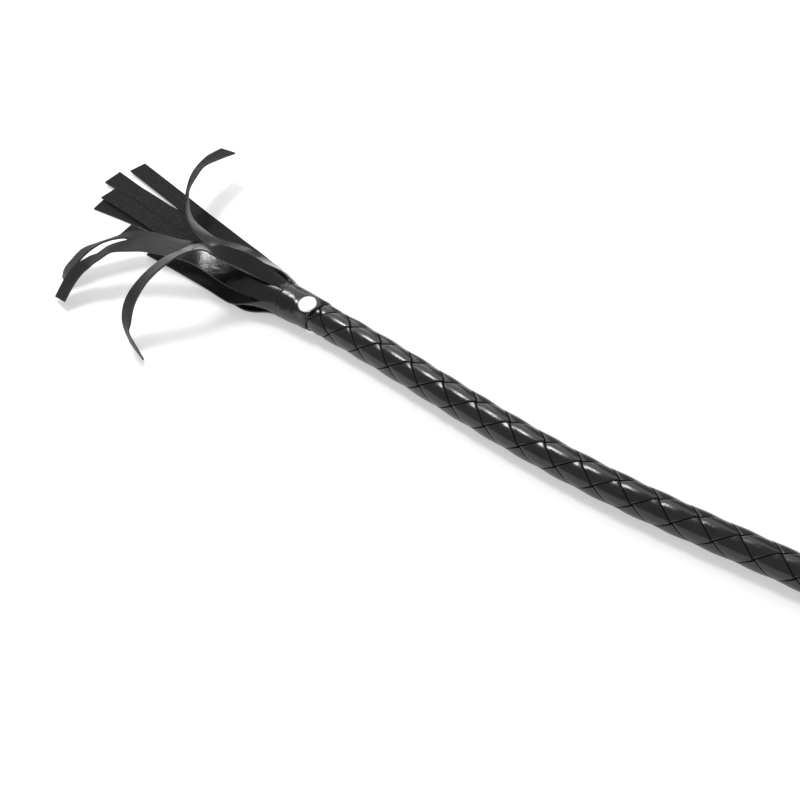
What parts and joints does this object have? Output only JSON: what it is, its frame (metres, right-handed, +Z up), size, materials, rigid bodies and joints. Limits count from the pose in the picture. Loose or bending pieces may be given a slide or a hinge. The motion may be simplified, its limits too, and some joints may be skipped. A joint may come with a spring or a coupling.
{
  "type": "riding crop",
  "caption": "Short riding whip with a braided shaft, a riveted keeper and a tuft of cut straps at its tip.",
  "frame": {"origin": "centre of the butt cap's flat end face", "axes": "+X out of the butt face, so the shaft and the falls run to -X; +Z up as the crop lies on a surface"},
  "size_m": [0.5877, 0.1272, 0.0387],
  "materials": {
    "patent": "high gloss patent face, matte woven back",
    "braid": "gloss",
    "nickel": "polished",
    "plug": "matte",
    "filler": "matte",
    "fibre": "satin",
    "thread": "matte",
    "plastic": "satin"
  },
  "bodies": {
    "crop": {"core_rod": "fibre", "core_sleeve": "filler", "strand_left_1": "braid", "strand_right_1": "braid", "strand_left_2": "braid", "strand_right_2": "braid", "strand_left_3": "braid", "strand_right_3": "braid", "keeper_wrap": "patent", "keeper_liner": "patent", "tip_plug": "plug", "rivet_cap": "nickel", "rivet_base": "nickel", "butt_binding": "thread", "butt_ferrule": "nickel", "butt_cap": "plastic"},
    "fall_curl_near": {"fall_curl_near": "patent"},
    "fall_curl_front": {"fall_curl_front": "patent"},
    "fall_curl_back": {"fall_curl_back": "patent"},
    "fall_curl_far": {"fall_curl_far": "patent"},
    "fall_flat_4": {"fall_flat_4": "patent"},
    "fall_flat_5": {"fall_flat_5": "patent"},
    "fall_flat_6": {"fall_flat_6": "patent"},
    "fall_flat_7": {"fall_flat_7": "patent"},
    "fall_flat_1": {"fall_flat_1": "patent"},
    "fall_flat_2": {"fall_flat_2": "patent"},
    "fall_flat_3": {"fall_flat_3": "patent"}
  },
  "joints": [
    {"name": "fall_curl_near_bend", "type": "hinge", "parent": "crop", "child": "fall_curl_near", "pos_m": [-0.4585, 0.0006, 0.0083], "axis": [0, 0.9976, -0.0698], "range_deg": [0, 70], "stiffness_Nm_per_rad": 0.02},
    {"name": "fall_curl_front_bend", "type": "hinge", "parent": "crop", "child": "fall_curl_front", "pos_m": [-0.4585, -0.0057, 0.0061], "axis": [0, 0.7314, 0.682], "range_deg": [0, 18], "stiffness_Nm_per_rad": 0.02},
    {"name": "fall_curl_back_bend", "type": "hinge", "parent": "crop", "child": "fall_curl_back", "pos_m": [-0.4585, -0.004, 0.0057], "axis": [0, 0.8192, 0.5736], "range_deg": [-7, 4], "stiffness_Nm_per_rad": 0.02},
    {"name": "fall_curl_far_bend", "type": "hinge", "parent": "crop", "child": "fall_curl_far", "pos_m": [-0.4585, 0.0067, 0.0049], "axis": [0, 0.5878, -0.809], "range_deg": [0, 40], "stiffness_Nm_per_rad": 0.02},
    {"name": "fall_flat_4_bend", "type": "hinge", "parent": "crop", "child": "fall_flat_4", "pos_m": [-0.4585, 0.0017, -0.0081], "axis": [0, -0.9781, -0.2079], "range_deg": [0, 60], "stiffness_Nm_per_rad": 0.02},
    {"name": "fall_flat_5_bend", "type": "hinge", "parent": "crop", "child": "fall_flat_5", "pos_m": [-0.4585, -0.0053, -0.0064], "axis": [0, -0.766, 0.6428], "range_deg": [0, 60], "stiffness_Nm_per_rad": 0.02},
    {"name": "fall_flat_6_bend", "type": "hinge", "parent": "crop", "child": "fall_flat_6", "pos_m": [-0.4585, -0.0083, 0], "axis": [0, 0, 1], "range_deg": [0, 25], "stiffness_Nm_per_rad": 0.02},
    {"name": "fall_flat_7_bend", "type": "hinge", "parent": "crop", "child": "fall_flat_7", "pos_m": [-0.4585, 0.0075, -0.0035], "axis": [0, -0.4226, -0.9063], "range_deg": [0, 30], "stiffness_Nm_per_rad": 0.02},
    {"name": "fall_flat_1_bend", "type": "hinge", "parent": "crop", "child": "fall_flat_1", "pos_m": [-0.5325, 0.0281, -0.0074], "axis": [0, 1, 0], "range_deg": [0, 45], "stiffness_Nm_per_rad": 0.02},
    {"name": "fall_flat_2_bend", "type": "hinge", "parent": "crop", "child": "fall_flat_2", "pos_m": [-0.5325, 0.0189, -0.0074], "axis": [0, 1, 0], "range_deg": [0, 45], "stiffness_Nm_per_rad": 0.02},
    {"name": "fall_flat_3_bend", "type": "hinge", "parent": "crop", "child": "fall_flat_3", "pos_m": [-0.5325, 0.0097, -0.0074], "axis": [0, 1, 0], "range_deg": [0, 45], "stiffness_Nm_per_rad": 0.02}
  ]
}
